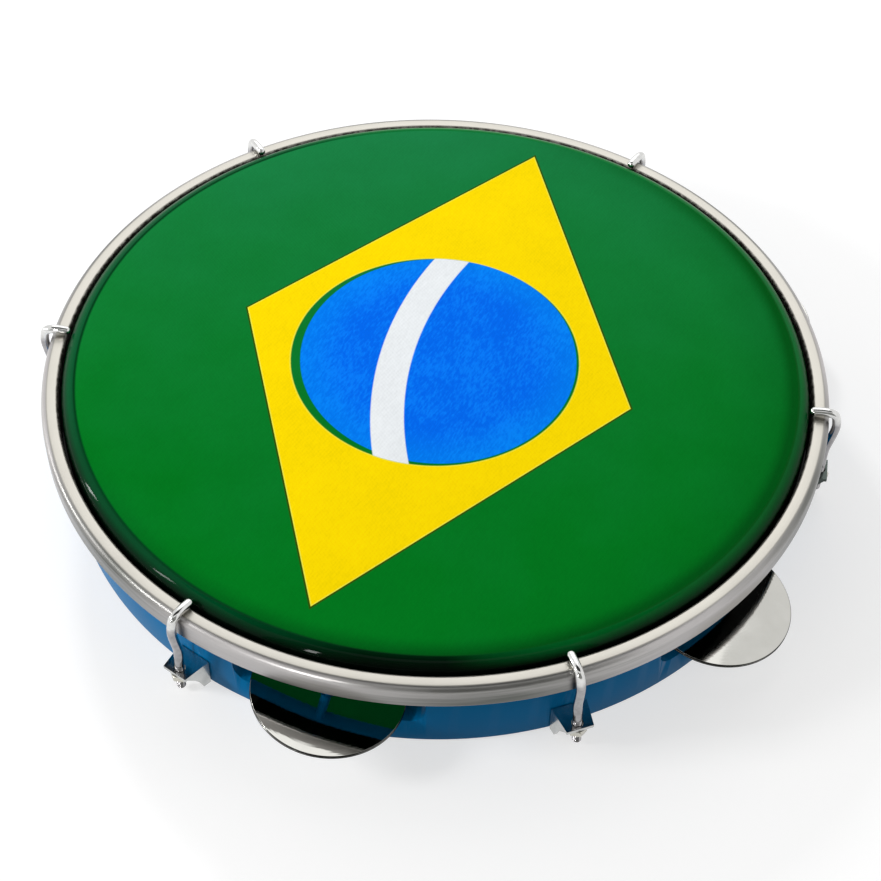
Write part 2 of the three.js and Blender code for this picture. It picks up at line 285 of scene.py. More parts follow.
def addFloor():
    half = studio["floorSize"] / 2
    corners = [(-half, -half, 0), (half, -half, 0), (half, half, 0), (-half, half, 0)]
    floor = meshPiece("floor", corners, [(0, 1, 2, 3)])
    floor.location.z = -studio["floorGap"] / 1000
    # seamless studio paper: matt, a touch lit where it is seen
    material, tree = newMaterial("paperFloor")
    glow = addNode(tree, "Math", (seenRay(tree), studio["floorGlow"]), operation="MULTIPLY")
    finishMaterial(
        tree,
        {
            "Base Color": studio["floorColour"],
            "Roughness": studio["floorRoughness"],
            "Specular IOR Level": 0.0,
            "Emission Color": (1, 1, 1, 1),
            "Emission Strength": glow,
        },
    )
    floor.data.materials.append(material)


def makeWorld():
    world = bpy.data.worlds.new("studioWorld")
    world.use_nodes = True
    tree = world.node_tree
    tree.nodes.clear()
    strength = addNode(tree, "MapRange", (seenRay(tree), 0.0, 1.0, studio["worldStrength"], 1.0))
    sky = addNode(tree, "Background", {"Color": (1, 1, 1, 1), "Strength": strength})
    addNode(tree, "OutputWorld", {"Surface": sky})
    bpy.context.scene.world = world


def addLamps():
    for name in ("high", "back", "side"):
        place, size, power = studio[name + "Place"], studio[name + "Size"], studio[name + "Power"]
        lamp = addSoftbox(name + "Softbox", place, size, power)
        lamp.visible_glossy = name == "high"
    glints = [("strip", direction) for direction in studio["stripDirections"]]
    glints.append(("crown", studio["crownDirection"]))
    for i, (kind, (turn, rise)) in enumerate(glints, 1):
        east, height = math.cos(math.radians(rise)), math.sin(math.radians(rise))
        way = (east * math.cos(math.radians(turn)), east * math.sin(math.radians(turn)), height)
        place = [studio["glintDistance"] * part for part in way]
        lamp = addSoftbox(f"{kind}Softbox{i}", place, studio[kind + "Size"], studio[kind + "Power"])
        lamp.visible_diffuse = False  # it only draws glints


addFloor()
makeWorld()
addLamps()
addBoards()
bpy.context.scene.view_settings.view_transform = "Standard"
print("studio ready")


# the moulded ring, and what is cut through it: jingle slots, pin bores and rivet holes
shell = {
    "outerRadius": 124.7,
    "innerRadius": 119.0,
    "height": 38.0,
    "seatRadius": 123.9,
    "seatHeight": 26.0,
    "bearingRound": 4.3,
    "innerRound": 0.6,
    "innerBevel": (0.15, 0.1),
    "footRound": 1.2,
    "bearingSteps": 8,
    "footSteps": 6,
    "steps": 256,
    "edgeSoftness": 0.35,
    "sharpAngle": 30,
    "colour": "#0080BE",
    "deepColour": "#00689F",
    "flowPerMm": 0.02,
    "peelPerMm": 1.4,
    "peelStrength": 0.12,
    "peelDepth": 0.1,
    "roughness": (0.28, 0.42),
    "ior": 1.52,
    "specular": 0.06,
}

slots = {
    "angles": [-104.4, -41, 23.6, 89.2, 149.1],
    "halfLength": 30.5,
    "floor": 10.5,
    "roof": 28.5,
    "cornerRadius": 5.0,
    "cornerSteps": 8,
    "cutFrom": 113.0,
    "cutTo": 127.0,
}

pins = {
    "circleRadius": 121.2,
    "radius": 1.25,
    "holeRadius": 1.55,
    "holeFoot": -2,
    "holeTop": 33.2,
    "low": 0.6,
    "high": 32.9,
    "bevel": 0.25,
    "steps": 32,
    "colour": "#B4B6B6",
    "linesPerMm": (3.0, 3.0, 0.15),
    "roughness": 0.2,
    "lineRoughness": 0.25,
}

rivets = {
    "height": 5.4,
    "shankRadius": 1.5,
    "holeRadius": 1.8,
    "holeOverrun": 3,
    "headRadius": 2.4,
    "headHeight": 1.1,
    "headFrom": 126.5,
    "domeSteps": 5,
    "tailTo": 118.7,
    "tailHeight": 0.9,
    "tailBevel": (0.4, 0.3),
    "steps": 32,
}

hookAngles = [-125.4, -69.9, -8.7, 55.8, 122.7, 175.5]


def prism(foot, top):
    # a closed solid between two outlines of the same number of points
    count = len(foot)
    caps = [list(range(count))[::-1], [i + count for i in range(count)]]
    return foot + top, caps + bandFaces(0, count, count)


def slotCutter():
    half, low, high, bend = slots["halfLength"], slots["floor"], slots["roof"], slots["cornerRadius"]
    low, high, outline = low + bend, high - bend, []
    for side, height, start in ((1, low, 270), (1, high, 0), (-1, high, 90), (-1, low, 180)):
        outline += arcPoints(side * (half - bend), height, bend, start, start + 90, slots["cornerSteps"])
    return prism([(slots["cutFrom"], y, z) for y, z in outline], [(slots["cutTo"], y, z) for y, z in outline])


def rodCutter(radius, low, high, sides=24):
    return prism(ringPoints(radius, low, sides), ringPoints(radius, high, sides))


def joinShapes(name, shapes):
    points, faces = [], []
    for (shapePoints, shapeFaces), place in shapes:
        base = len(points)
        points += [place @ Vector(p) for p in shapePoints]
        faces += [[i + base for i in face] for face in shapeFaces]
    return meshPiece(name, points, faces)


def applyModifiers(piece):
    graph = bpy.context.evaluated_depsgraph_get()
    mesh = bpy.data.meshes.new_from_object(piece.evaluated_get(graph))
    piece.modifiers.clear()
    piece.data = mesh


def cutAway(piece, cutter):
    cut = piece.modifiers.new("cut", "BOOLEAN")
    cut.operation = "DIFFERENCE"
    cut.solver = "EXACT"
    cut.object = cutter
    applyModifiers(piece)
    bpy.data.objects.remove(cutter)


def softenEdges(piece, width, angle=40, segments=2):
    bevel = piece.modifiers.new("softEdges", "BEVEL")
    bevel.width = width / 1000
    bevel.segments = segments
    bevel.limit_method = "ANGLE"
    bevel.angle_limit = math.radians(angle)
    bevel.harden_normals = True


def mouldedAbs():
    # moulded ABS: even colour, a faint orange-peel skin and slightly uneven gloss
    s = shell
    material, tree = newMaterial("mouldedAbsBlue")
    place = millimetres(tree)
    flow = addNode(tree, "TexNoise", {"Vector": place, "Scale": s["flowPerMm"], "Detail": 3.0})
    peel = addNode(tree, "TexNoise", {"Vector": place, "Scale": s["peelPerMm"], "Detail": 2.0})
    skin = {"Height": peel, "Strength": s["peelStrength"], "Distance": s["peelDepth"] / 1000}
    finishMaterial(
        tree,
        {
            "Base Color": layColours(tree, s["deepColour"], (flow, s["colour"])),
            "Roughness": addNode(tree, "MapRange", (flow, 0.0, 1.0, *s["roughness"])),
            "Normal": addNode(tree, "Bump", skin),
            "IOR": s["ior"],
            "Specular IOR Level": s["specular"],
        },
    )
    return material


def makeShell():
    s = shell
    inner, outer, foot, bend = s["innerRadius"], s["outerRadius"], s["footRound"], s["bearingRound"]
    profile = arcPoints(inner + foot, foot, foot, 180, 270, s["footSteps"])
    profile += arcPoints(outer - foot, foot, foot, 270, 360, s["footSteps"])
    profile += [(outer, s["seatHeight"]), (s["seatRadius"], s["seatHeight"] + outer - s["seatRadius"])]
    profile += arcPoints(s["seatRadius"] - bend, s["height"] - bend, bend, 0, 90, s["bearingSteps"])
    profile += [(inner + s["innerBevel"][0], s["height"] - s["innerBevel"][1])]
    profile += [(inner, s["height"] - s["innerRound"])]
    ring = turnedPiece("shellRing", profile, s["steps"])
    pinPlace = Matrix.Translation((pins["circleRadius"], 0, 0))
    pinHole = rodCutter(pins["holeRadius"], pins["holeFoot"], pins["holeTop"])
    rivetPlace = Matrix.Translation((0, 0, rivets["height"])) @ Matrix.Rotation(math.pi / 2, 4, "Y")
    rivetHole = rodCutter(rivets["holeRadius"], inner - rivets["holeOverrun"], outer + rivets["holeOverrun"])
    shapes = [(slotCutter(), stationTurn(angle)) for angle in slots["angles"]]
    shapes += [(pinHole, stationTurn(angle) @ pinPlace) for angle in slots["angles"]]
    shapes += [(rivetHole, stationTurn(angle) @ rivetPlace) for angle in hookAngles]
    cutAway(ring, joinShapes("shellCutters", shapes))
    softenEdges(ring, s["edgeSoftness"])
    applyModifiers(ring)
    softenMesh(ring.data, s["sharpAngle"])
    dress(ring, mouldedAbs(), "drum", "shell")


makeShell()
print("shell made")


# the printed head: one sheet with its bend over the bearing edge and its flange
film = {
    "thickness": 0.4,
    "top": 38.7,
    "faceRings": [30, 60, 90, 110],
    "flatRadius": 119.6,
    "bendHeight": 33.7,
    "bendRadius": 5.0,
    "bendSteps": 12,
    "flangeFoot": 28.8,
    "flangeRadius": 129.4,
    "steps": 256,
    # the printed figure
    "figureCentre": (-0.56, 1.02),
    "figureTurn": 71.6,
    "halfLong": 110.35,
    "halfShort": 67.87,
    "holeCentre": (-0.52, 0.94),
    "holeRadius": 48.1,
    "discCentre": (0.63, 1.34),
    "discRadius": 46.1,
    "discHeightOverWidth": 1.03,
    "bandCentre": (120.5, -22.6),
    "bandInner": 130.6,
    "bandOuter": 141.5,
    "printCentre": (0.7, -0.4),
    "printRadius": 120.3,
    "printBlur": 0.35,
    "rimWidth": 0.35,
    "darkRimWidths": 1.7,
    # the inks, and the colours of the painted sheen, shade and glow
    "nearGreen": "#00771E",
    "farSheenGreen": "#187C44",
    "edgeShadeGreen": "#005416",
    "yellow": "#FFDE00",
    "yellowRim": "#F2EC4A",
    "darkRim": "#2C5205",
    "blue": "#006AF2",
    "blueFleck": "#0C8CFF",
    "blueEdge": "#009CFA",
    "white": "#EEF2F5",
    "collarShadeLine": "#003A18",
    "collarLitGreen": "#00522A",
    "collarLitFar": "#04702F",
    "collarLitRight": "#046627",
    "collarShadeDark": "#010703",
    "underGlowGreen": "#046A30",
    "underGlow": 0.22,
    # where the painted sheen and shade fall over the face, sideReach being 1 to the right or to the back
    "sideReach": 124.0,
    "cloudPerMm": 0.03,
    "cloudSwing": 0.4,
    "farSheenSpan": (-115.0, 118.0),
    "closeSpan": (113.0, 121.0),
    "nearSideSpan": (-0.7, 0.9),
    "broadSpan": (97.0, 119.0),
    "broadShade": 0.45,
    # flecks and patches in the ink
    "fleckTurn": 22,
    "fleckPerMm": (1.3, 0.45, 1.0),
    "patchPerMm": 0.06,
    "patchShare": 0.6,
    "palerSpan": (0.72, 0.95),
    "palerShade": 0.45,
    "edgeTintFrom": 30.0,
    "edgeTint": 0.3,
    # how the green dies away over the bend in painted shade, and where it is painted lit
    "collarBlur": 0.6,
    "topSpan": (-0.3, -0.1),
    "backLight": (-1.0, -0.15, 0.1, 1.0),
    "sideLights": [(0.04, 0.36, 0.0, 0.95), (-0.08, -0.5, 0.0, 0.74)],
    "fadeFrom": 0.7,
    "fadeTo": 124.2,
    "fadeStart": 1.3,
    "lineSpan": (0.3, 0.8),
    "farRightSpan": (0.3, 1.0),
    # the embossed weave and the gloss
    "weavePitch": 1.3,
    "rungShare": 0.7,
    "weaveTone": 0.022,
    "patchTone": 0.12,
    "fleckTone": 0.16,
    "weaveStrength": 0.12,
    "weaveDepth": 0.05,
    "bendSpan": (119.9, 120.9),
    "roughness": (0.45, 0.05),
    "specular": (0.01, 0.05),
    "ior": 1.5,
}


def printedFilm():
    # polyester film printed on its underside: even inks, a satin weave-embossed face, glossy bend; painted
    # sheen and shade on the ground and the bend, and a painted glow underneath
    f = film
    material, tree = newMaterial("printedPolyesterFilm")
    place = millimetres(tree)
    x, y, z = addNode(tree, "SeparateXYZ", (place,)).outputs
    flat = addNode(tree, "CombineXYZ", (x, y, 0.0))
    rightward = addNode(tree, "Math", (x, f["sideReach"]), operation="DIVIDE")
    backward = addNode(tree, "Math", (y, f["sideReach"]), operation="DIVIDE")

    def distanceFrom(centre):
        return addNode(tree, "VectorMath", (flat, (*centre, 0)), operation="DISTANCE")

    def inside(distance, edge):
        # 1 inside the printed edge and 0 outside, over the ink's slight spread
        blur = f["printBlur"] / 2
        return addNode(tree, "MapRange", (distance, edge - blur, edge + blur, 1.0, 0.0))

    # the ground: yellower green in front, a painted sheen that makes it paler far off, and painted shade that
    # makes it deeper where it nears the bend
    radius = distanceFrom((0, 0))
    toPrint = distanceFrom(f["printCentre"])
    cloud = addNode(tree, "TexNoise", {"Vector": place, "Scale": f["cloudPerMm"], "Detail": 3.0})
    cloud = addNode(tree, "Math", (cloud, f["cloudSwing"], -f["cloudSwing"] / 2), operation="MULTIPLY_ADD")
    farSheen = addNode(tree, "MapRange", (y, *f["farSheenSpan"]))
    farSheen = addNode(tree, "Math", (farSheen, farSheen), operation="MULTIPLY")
    farSheen = addNode(tree, "Math", (farSheen, cloud), operation="ADD")
    closeness = addNode(tree, "MapRange", (toPrint, *f["closeSpan"]), interpolation_type="SMOOTHSTEP")
    nearSide = addNode(tree, "Math", (rightward, backward), operation="SUBTRACT")
    nearSide = addNode(tree, "MapRange", (nearSide, *f["nearSideSpan"]))
    broad = addNode(tree, "MapRange", (radius, *f["broadSpan"]))
    onRight = addNode(tree, "Math", (rightward, 0.0), operation="MAXIMUM")
    broad = addNode(tree, "Math", (broad, onRight), operation="MULTIPLY")
    broad = addNode(tree, "Math", (broad, f["broadShade"]), operation="MULTIPLY")
    edgeShade = addNode(tree, "Math", (closeness, nearSide, broad), operation="MULTIPLY_ADD")
    edgeShade = addNode(tree, "Math", (edgeShade, 1.0), operation="MINIMUM")
    ground = layColours(tree, f["nearGreen"], (farSheen, f["farSheenGreen"]), (edgeShade, f["edgeShadeGreen"]))

    # the rhombus, measured along its own two axes
    turn = math.radians(f["figureTurn"])
    offset = addNode(tree, "VectorMath", (flat, (*f["figureCentre"], 0)), operation="SUBTRACT")
    reaches = []
    for axis in ((math.cos(turn), math.sin(turn), 0), (-math.sin(turn), math.cos(turn), 0)):
        reach = addNode(tree, "VectorMath", (offset, axis), operation="DOT_PRODUCT")
        reaches.append(addNode(tree, "Math", (reach,), operation="ABSOLUTE"))
    slope = f["halfLong"] / f["halfShort"]
    rhombus = addNode(tree, "Math", (reaches[1], slope, reaches[0]), operation="MULTIPLY_ADD")
    rim = f["rimWidth"] * math.hypot(1, slope)

    # the blue plate, printed a touch off register and stretched by the film's pull
    fromDisc = addNode(tree, "VectorMath", (flat, (*f["discCentre"], 0)), operation="SUBTRACT")
    stretch = (1.0, 1 / f["discHeightOverWidth"], 1.0)
    fromDisc = addNode(tree, "VectorMath", (fromDisc, stretch), operation="MULTIPLY")
    toDisc = addNode(tree, "VectorMath", (fromDisc,), operation="LENGTH")
    fleckWay = {"Vector": place, "Angle": math.radians(f["fleckTurn"])}
    fleckPlace = addNode(tree, "VectorRotate", fleckWay, rotation_type="Z_AXIS")
    fleckPlace = addNode(tree, "VectorMath", (fleckPlace, f["fleckPerMm"]), operation="MULTIPLY")
    fleck = addNode(tree, "TexNoise", {"Vector": fleckPlace, "Scale": 1.0, "Detail": 2.0})
    patch = addNode(tree, "TexNoise", {"Vector": place, "Scale": f["patchPerMm"], "Detail": 2.0})
    paler = addNode(tree, "Math", (patch, f["patchShare"], fleck), operation="MULTIPLY_ADD")
    paler = addNode(tree, "MapRange", (paler, *f["palerSpan"]))
    paler = addNode(tree, "Math", (paler, f["palerShade"]), operation="MULTIPLY")
    tintSpan = (toDisc, f["edgeTintFrom"], f["discRadius"], 0.0, f["edgeTint"])
    edgeTint = addNode(tree, "MapRange", tintSpan, interpolation_type="SMOOTHSTEP")
    blueInk = layColours(tree, f["blue"], (paler, f["blueFleck"]), (edgeTint, f["blueEdge"]))

    # the white band, kept within the blue disc
    toHole = distanceFrom(f["holeCentre"])
    inHole = inside(toHole, f["holeRadius"])
    sweep = distanceFrom(f["bandCentre"])
    band = (inside(sweep, f["bandOuter"]), inside(sweep, f["bandInner"]))
    band = addNode(tree, "Math", band, operation="SUBTRACT")
    band = addNode(tree, "Math", (band, inHole), operation="MULTIPLY")
    printed = layColours(
        tree,
        ground,
        (inside(rhombus, f["halfLong"] + f["darkRimWidths"] * rim), f["darkRim"]),
        (inside(rhombus, f["halfLong"]), f["yellowRim"]),
        (inside(rhombus, f["halfLong"] - rim), f["yellow"]),
        (inside(toHole, f["holeRadius"] + f["rimWidth"]), f["yellowRim"]),
        (inHole, ground),
        (inside(toDisc, f["discRadius"]), blueInk),
        (band, f["white"]),
    )

    # painted light: the light from the back and from each side is painted round the bend, further on the
    # right
    lit = addNode(tree, "MapRange", (backward, *f["backLight"]))
    sideLights = [addNode(tree, "MapRange", (rightward, *reach)) for reach in f["sideLights"]]
    fromSides = addNode(tree, "Math", sideLights, operation="MAXIMUM")
    lit = addNode(tree, "Math", (lit, fromSides), operation="MAXIMUM")
    # the bend, all painted light and shade: a thin painted shade line, then deep green that dies to painted
    # near-black shade, sooner in front
    edge = f["printRadius"]
    depth = addNode(tree, "MapRange", (radius, edge + f["fadeFrom"], f["fadeTo"], f["fadeStart"], 0.0))
    depth = addNode(tree, "Math", (depth, 1.0), operation="MINIMUM")
    litDepth = addNode(tree, "Math", (depth, lit), operation="MULTIPLY")
    line = addNode(tree, "MapRange", (toPrint, *(edge + step for step in f["lineSpan"]), 1.0, 0.0))
    line = addNode(tree, "Math", (line, lit), operation="MULTIPLY")
    # the painted line and shade die out at the far right, painted lit where the light comes across the bend
    farRight = addNode(tree, "Math", (rightward, backward), operation="ADD")
    farRight = addNode(tree, "MapRange", (farRight, *f["farRightSpan"]), interpolation_type="SMOOTHSTEP")
    rest = addNode(tree, "Math", (1.0, farRight), operation="SUBTRACT")
    line = addNode(tree, "Math", (line, rest), operation="MULTIPLY")
    nearRight = addNode(tree, "Math", (sideLights[0], rest), operation="MULTIPLY")
    nearRight = addNode(tree, "Math", (nearRight, depth), operation="MULTIPLY")
    farRight = addNode(tree, "Math", (farRight, depth), operation="MULTIPLY")
    bend = layColours(
        tree,
        f["collarShadeDark"],
        (litDepth, f["collarLitGreen"]),
        (line, f["collarShadeLine"]),
        (farRight, f["collarLitFar"]),
        (nearRight, f["collarLitRight"]),
    )
    collar = addNode(tree, "MapRange", (toPrint, edge - f["collarBlur"], edge))
    offCollar = addNode(tree, "Math", (1.0, collar), operation="SUBTRACT")
    topSide = addNode(tree, "MapRange", (z, *(f["top"] + step for step in f["topSpan"])))
    isUnder = addNode(tree, "Math", (1.0, topSide), operation="SUBTRACT")
    isUnder = addNode(tree, "Math", (isUnder, offCollar), operation="MULTIPLY")
    # the painted bend over the collar, and the colour of the painted glow on the underside
    shown = layColours(tree, printed, (collar, bend), (isUnder, f["underGlowGreen"]))

    # embossed weave: two crossing sets of fine ribs, drawn as coarse as the photo's texture
    ribs = []
    for way, share in ((x, 1), (y, f["rungShare"])):
        phase = addNode(tree, "Math", (way, 2 * math.pi / f["weavePitch"] * share), operation="MULTIPLY")
        ribs.append(addNode(tree, "Math", (phase,), operation="SINE"))
    weave = addNode(tree, "Math", ribs, operation="MULTIPLY")
    weave = addNode(tree, "Math", (weave, offCollar), operation="MULTIPLY")
    tone = addNode(tree, "Math", (weave, f["weaveTone"], 1.0), operation="MULTIPLY_ADD")
    for mottle, swing in ((patch, f["patchTone"]), (fleck, f["fleckTone"])):
        middled = addNode(tree, "Math", (mottle, 0.5), operation="SUBTRACT")
        tone = addNode(tree, "Math", (middled, swing, tone), operation="MULTIPLY_ADD")
    shown = addNode(tree, "HueSaturation", {"Color": shown, "Value": tone})
    emboss = {"Height": weave, "Strength": f["weaveStrength"], "Distance": f["weaveDepth"] / 1000}
    bent = addNode(tree, "MapRange", (radius, *f["bendSpan"]))
    finishMaterial(
        tree,
        {
            "Base Color": shown,
            "Roughness": addNode(tree, "MapRange", (bent, 0.0, 1.0, *f["roughness"])),
            "Specular IOR Level": addNode(tree, "MapRange", (bent, 0.0, 1.0, *f["specular"])),
            "Normal": addNode(tree, "Bump", emboss),
            "IOR": f["ior"],
            # painted glow: the underside gives off light, as if daylight came through the film
            "Emission Color": f["underGlowGreen"],
            "Emission Strength": addNode(tree, "Math", (isUnder, f["underGlow"]), operation="MULTIPLY"),
        },
    )
    return material


def makeFilm():
    f = film
    thick, flat, height, top = f["thickness"], f["flatRadius"], f["bendHeight"], f["top"]
    bend, inner, flange, foot = f["bendRadius"], f["bendRadius"] - thick, f["flangeRadius"], f["flangeFoot"]
    profile = [(r, top - thick) for r in [0] + f["faceRings"]]
    profile += arcPoints(flat, height, inner, 90, 0, f["bendSteps"])
    profile += [(flat + inner, foot), (flange, foot), (flange, foot + thick), (flat + bend, foot + thick)]
    profile += arcPoints(flat, height, bend, 0, 90, f["bendSteps"])
    profile += [(r, top) for r in f["faceRings"][::-1] + [0]]
    skin = turnedPiece("headFilm", profile, f["steps"])
    dress(skin, printedFilm(), "drum", "head_film")


makeFilm()
print("head made")


# the folded counter hoop, and the flesh hoop that it presses on
hoop = {
    "innerRadius": 125.3,
    "outerRadius": 131.0,
    "top": 36.0,
    "foot": 28.0,
    "innerFoot": 29.5,
    "sheet": 1.0,
    "outerRound": 2.3,
    "innerRound": 1.3,
    "lipRound": 0.3,
    "outerSteps": 10,
    "innerSteps": 6,
    "lipSteps": 3,
    "steps": 360,
    "lipColour": "#B5B2AA",
    "lipTone": (0.16, 0.9),
    "lipTo": 128.9,
    "lipBlur": 0.6,
    "skirtPale": "#B9B6B5",
    "skirtDullAndShade": "#5E605B",
    "brushLength": 18.0,
    "brushPitch": 0.35,
    "brushShare": 0.5,
    "streakLonger": 3,
    "streakWider": 6,
    "streakShare": (1.1, -0.15),
    "waves": 6,
    "reflectionBandTurn": 112,
    "reflectionBandShare": 0.42,
    "stain": "#2E2A24",
    "stainPerMm": 0.45,
    "stainSpan": (0.38, 0.58),
    "stainShare": (0.6, 0.35),
    "insideSpan": (0.35, 0.9),
    "smudgePerMm": 0.05,
    "roughness": 0.2,
    "brushRoughness": 0.14,
    "smudgeRoughness": 0.14,
    "tarnishRoughness": 0.35,
    "brushStrength": 0.1,
    "brushDepth": 0.05,
}

fleshHoop = {
    "innerRadius": 126.6,
    "outerRadius": 129.4,
    "foot": 29.5,
    "top": 34.7,
    "round": 0.5,
    "roundSteps": 4,
    "steps": 192,
    "colour": "#B5B7B9",
    "drawLength": 25.0,
    "drawPitch": 0.5,
    "roughness": 0.3,
    "drawRoughness": 0.25,
}


def radiusAt(tree, x, y):
    # the distance from the drum's axis
    squares = addNode(tree, "Math", (y, 2.0), operation="POWER")
    squares = addNode(tree, "Math", (x, x, squares), operation="MULTIPLY_ADD")
    return addNode(tree, "Math", (squares,), operation="SQRT")


def aroundCoordinates(tree, place, alongPitch, acrossPitch):
    # lines that run round the drum: slow in x and y, quick in height and radius, and without a seam
    x, y, z = addNode(tree, "SeparateXYZ", (place,)).outputs
    across = addNode(tree, "Math", (z, radiusAt(tree, x, y)), operation="ADD")
    pitches = ((x, alongPitch), (y, alongPitch), (across, acrossPitch))
    return addNode(tree, "CombineXYZ", [addNode(tree, "Math", pair, operation="DIVIDE") for pair in pitches])


def rolledChrome():
    # chromed rolled strip: satin, drawn out in fine lines round the hoop, dull and brown inside, with painted
    # reflection bands and painted shade on the skirt
    h = hoop
    material, tree = newMaterial("rolledChromedSteel")
    place = millimetres(tree)
    lines = aroundCoordinates(tree, place, h["brushLength"], h["brushPitch"])
    brush = addNode(tree, "TexNoise", {"Vector": lines, "Scale": 1.0, "Detail": 3.0})
    broad = aroundCoordinates(
        tree, place, h["streakLonger"] * h["brushLength"], h["streakWider"] * h["brushPitch"]
    )
    streak = addNode(tree, "TexNoise", {"Vector": broad, "Scale": 1.0, "Detail": 2.0})
    smudge = addNode(tree, "TexNoise", {"Vector": place, "Scale": h["smudgePerMm"], "Detail": 3.0})
    x, y = addNode(tree, "SeparateXYZ", (place,)).outputs[:2]
    radius = radiusAt(tree, x, y)

    # the lip is brighter than the skirt, whose darker tone is partly brushing and partly painted shade; the
    # brushing comes and goes
    lip = addNode(tree, "MapRange", (radius, h["lipTo"], h["lipTo"] + h["lipBlur"], 1.0, 0.0))
    # painted reflection: lighter and darker bands at six places round the hoop
    reflectionBand = addNode(tree, "Math", (y, x), operation="ARCTAN2")
    reflectionBandPhase = math.radians(h["waves"] * h["reflectionBandTurn"])
    reflectionBand = addNode(tree, "Math", (reflectionBand, h["waves"], reflectionBandPhase), operation="MULTIPLY_ADD")
    reflectionBand = addNode(tree, "Math", (reflectionBand,), operation="COSINE")
    skirt = addNode(tree, "Math", (streak, *h["streakShare"]), operation="MULTIPLY_ADD")
    skirt = addNode(tree, "Math", (brush, h["brushShare"], skirt), operation="MULTIPLY_ADD")
    skirt = addNode(tree, "Math", (reflectionBand, h["reflectionBandShare"], skirt), operation="MULTIPLY_ADD")
    offLip = addNode(tree, "Math", (1.0, lip), operation="SUBTRACT")
    skirt = addNode(tree, "Math", (skirt, offLip), operation="MULTIPLY")
    tone = addNode(tree, "Math", (brush, *h["lipTone"]), operation="MULTIPLY_ADD")
    lipBrushed = addNode(tree, "HueSaturation", {"Color": h["lipColour"], "Value": tone})

    # brown stains gather on the wall inside the lip
    inner = [h["innerRadius"] + step for step in h["insideSpan"]]
    inside = addNode(tree, "MapRange", (radius, *inner, 1.0, 0.0))
    stain = addNode(tree, "TexNoise", {"Vector": place, "Scale": h["stainPerMm"], "Detail": 4.0})
    stain = addNode(tree, "MapRange", (stain, *h["stainSpan"]))
    stain = addNode(tree, "Math", (stain, *h["stainShare"]), operation="MULTIPLY_ADD")
    tarnish = addNode(tree, "Math", (inside, stain), operation="MULTIPLY")
    colour = layColours(
        tree, h["skirtDullAndShade"], (skirt, h["skirtPale"]), (lip, lipBrushed), (tarnish, h["stain"])
    )
    gloss = h["roughness"]
    for mark, kind in ((smudge, "smudge"), (brush, "brush"), (tarnish, "tarnish")):
        gloss = addNode(tree, "Math", (mark, h[kind + "Roughness"], gloss), operation="MULTIPLY_ADD")
    grooves = {"Height": brush, "Strength": h["brushStrength"], "Distance": h["brushDepth"] / 1000}
    bump = addNode(tree, "Bump", grooves)
    finishMaterial(tree, {"Base Color": colour, "Metallic": 1.0, "Roughness": gloss, "Normal": bump})
    return material


def makeHoop():
    h = hoop
    inner, outer, top, foot = h["innerRadius"], h["outerRadius"], h["top"], h["foot"]
    sheet, lip, outerRound, innerRound = h["sheet"], h["lipRound"], h["outerRound"], h["innerRound"]
    profile = arcPoints(outer - sheet + lip, foot + lip, lip, 180, 270, h["lipSteps"])
    profile += arcPoints(outer - lip, foot + lip, lip, 270, 360, h["lipSteps"])
    profile += arcPoints(outer - outerRound, top - outerRound, outerRound, 0, 90, h["outerSteps"])
    profile += arcPoints(inner + innerRound, top - innerRound, innerRound, 90, 180, h["innerSteps"])
    profile += [(inner, h["innerFoot"]), (inner + sheet, h["innerFoot"])]
    profile += [(inner + sheet, top - sheet), (outer - sheet, top - sheet)]
    ring = turnedPiece("counterHoop", profile, h["steps"])
    dress(ring, rolledChrome(), "drum", "counter_hoop")


def drawnAluminium():
    # drawn aluminium strip: soft grey with lengthwise draw marks
    h = fleshHoop
    material, tree = newMaterial("drawnAluminium")
    lines = aroundCoordinates(tree, millimetres(tree), h["drawLength"], h["drawPitch"])
    drawn = addNode(tree, "TexNoise", {"Vector": lines, "Scale": 1.0, "Detail": 2.0})
    gloss = addNode(tree, "Math", (drawn, h["drawRoughness"], h["roughness"]), operation="MULTIPLY_ADD")
    finishMaterial(tree, {"Base Color": h["colour"], "Metallic": 1.0, "Roughness": gloss})
    return material


def makeFleshHoop():
    h = fleshHoop
    soft = h["round"]
    inner, outer = h["innerRadius"] + soft, h["outerRadius"] - soft
    low, high = h["foot"] + soft, h["top"] - soft
    profile = []
    for radius, height, start in ((inner, low, 180), (outer, low, 270), (outer, high, 0), (inner, high, 90)):
        profile += arcPoints(radius, height, soft, start, start + 90, h["roundSteps"])
    ring = turnedPiece("fleshHoop", profile, h["steps"])
    dress(ring, drawnAluminium(), "drum", "flesh_hoop")


makeHoop()
makeFleshHoop()
print("hoops made")


# the tension hooks: bent chromed wire, with an M3 thread at the lower end
hook = {
    "wireRadius": 1.48,
    "shankRadius": 131.8,
    "route": [
        (125.6, 37.8),
        (128.15, 38.08),
        (130.7, 37.93),
        (132.5, 37.05),
        (133.3, 34.8),
        (133.6, 31.8),
        (133.15, 28.0),
        (132.4, 24.0),
        (131.8, 20.1),
        (131.8, 13.4),
    ],
    "routeSteps": 6,
    "domeSteps": 6,
    "domeTip": 0.05,
    "threadTop": 13.0,
    "threadEnd": 1.2,
    "threadPitch": 0.5,
    "threadDepth": 0.3,
    "stepsPerPitch": 6,
    "endBevel": 0.5,
    "sides": 20,
    "sharpAngle": 50,
    "leans": [2.0, -3.0, 0.5, 0.8, -1.8, -0.6],
    "leanHeight": 9.0,
    "tipDull": "#C2C2C0",
    "tipBright": "#EDEDEB",
    "shankDull": "#807E80",
    "shankBright": "#B9B7B8",
    "paintedTopSpan": (33.0, 37.0),
    "marksPerMm": 0.5,
    "marksReach": 2.0,
    "roughness": 0.05,
    "marksRoughness": 0.14,
}


